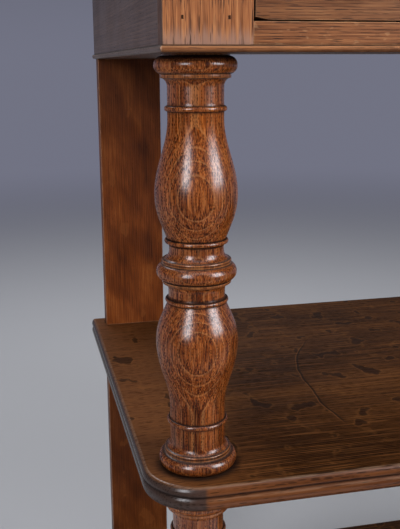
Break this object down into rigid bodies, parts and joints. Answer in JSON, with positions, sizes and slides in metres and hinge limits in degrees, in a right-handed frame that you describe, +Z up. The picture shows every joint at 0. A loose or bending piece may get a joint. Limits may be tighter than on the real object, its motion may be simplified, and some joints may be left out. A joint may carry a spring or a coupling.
{
  "type": "sideboard",
  "caption": "Tall open oak sideboard with moulded shelves on turned baluster columns, flat rear boards and a frieze of sliding inset drawers with turned knobs.",
  "frame": {"origin": "middle of the bounding box on the floor, between the four feet", "axes": "+Z up, -Y towards the user (drawers open along -Y), +X to the user's right"},
  "size_m": [1.22, 0.5836, 1.1246],
  "materials": {
    "oak_face": "quarter-sawn oak, orange-brown, worn wax polish",
    "oak_turned": "turned oak, red-brown, glossy wax polish",
    "oak_board": "oak boards, dark brown, satin wax polish",
    "oak_rear": "flat oak boards, red-brown, satin polish",
    "oak_lining": "unpolished oak, aged",
    "screw_steel": "dull steel"
  },
  "bodies": {
    "carcase": {"top_board": "oak_board", "middle_shelf": "oak_board", "lower_shelf": "oak_board", "left_end_panel": "oak_face", "right_end_panel": "oak_face", "left_front_stile": "oak_face", "right_front_stile": "oak_face", "centre_stile": "oak_face", "top_rail": "oak_face", "bottom_rail": "oak_face", "back_rail": "oak_lining", "back_panel": "oak_lining", "front_bead": "oak_face", "left_bead": "oak_face", "right_bead": "oak_face", "left_bearer": "oak_lining", "right_bearer": "oak_lining", "left_corner_block": "oak_lining", "right_corner_block": "oak_lining", "left_runner": "oak_lining", "centre_runner": "oak_lining", "right_runner": "oak_lining", "left_guide": "oak_lining", "centre_guide": "oak_lining", "right_guide": "oak_lining", "left_kicker": "oak_lining", "centre_kicker": "oak_lining", "right_kicker": "oak_lining", "drawer_stops": "oak_lining", "glue_blocks": "oak_lining", "top_screws": "screw_steel", "back_screws": "screw_steel", "stile_nails": "screw_steel", "upper_left_column": "oak_turned", "upper_right_column": "oak_turned", "lower_left_column": "oak_turned", "lower_right_column": "oak_turned", "upper_left_rear_board": "oak_rear", "upper_right_rear_board": "oak_rear", "lower_left_rear_board": "oak_rear", "lower_right_rear_board": "oak_rear", "front_left_foot": "oak_turned", "front_right_foot": "oak_turned", "rear_left_foot": "oak_turned", "rear_right_foot": "oak_turned"},
    "left_drawer": {"left_drawer_front": "oak_face", "left_drawer_outer_side": "oak_lining", "left_drawer_inner_side": "oak_lining", "left_drawer_back": "oak_lining", "left_drawer_bottom": "oak_lining", "left_drawer_knobs": "oak_turned", "left_drawer_screws": "screw_steel"},
    "right_drawer": {"right_drawer_front": "oak_face", "right_drawer_outer_side": "oak_lining", "right_drawer_inner_side": "oak_lining", "right_drawer_back": "oak_lining", "right_drawer_bottom": "oak_lining", "right_drawer_knobs": "oak_turned", "right_drawer_screws": "screw_steel"}
  },
  "joints": [
    {"name": "left_drawer_slide", "type": "slide", "parent": "carcase", "child": "left_drawer", "axis": [0, -1, 0], "range_m": [0, 0.4]},
    {"name": "right_drawer_slide", "type": "slide", "parent": "carcase", "child": "right_drawer", "axis": [0, -1, 0], "range_m": [0, 0.4]}
  ]
}
